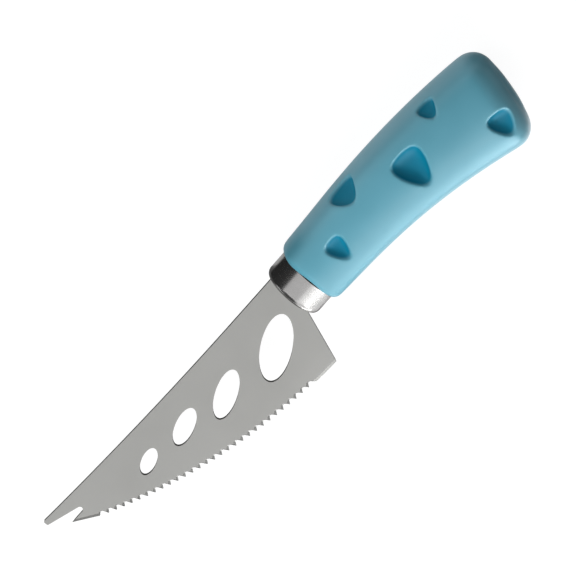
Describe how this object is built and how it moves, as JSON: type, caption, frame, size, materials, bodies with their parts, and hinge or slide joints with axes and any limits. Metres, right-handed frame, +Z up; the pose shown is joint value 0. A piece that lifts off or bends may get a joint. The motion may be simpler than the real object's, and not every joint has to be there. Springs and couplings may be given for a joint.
{
  "type": "cheese knife",
  "caption": "Cheese knife with a pierced, saw-toothed blade and forked tip, a steel ferrule and a curved soft-touch handle with triangular dimples.",
  "frame": {"origin": "bottom centre of the whole knife's box, on the surface the knife lies on", "axes": "+X along the knife towards the blade's tip, +Y towards the cutting edge, +Z up out of the blade's flat side"},
  "size_m": [0.2214, 0.041, 0.0292],
  "materials": {
    "blade_steel": "satin",
    "ferrule_steel": "polished",
    "grip_soft": "matte",
    "core_plastic": "matte",
    "adhesive": "semi-gloss"
  },
  "bodies": {
    "root": {"blade": "blade_steel", "tang_adhesive": "adhesive", "ferrule": "ferrule_steel", "handle_core": "core_plastic", "handle_grip": "grip_soft"}
  },
  "joints": []
}
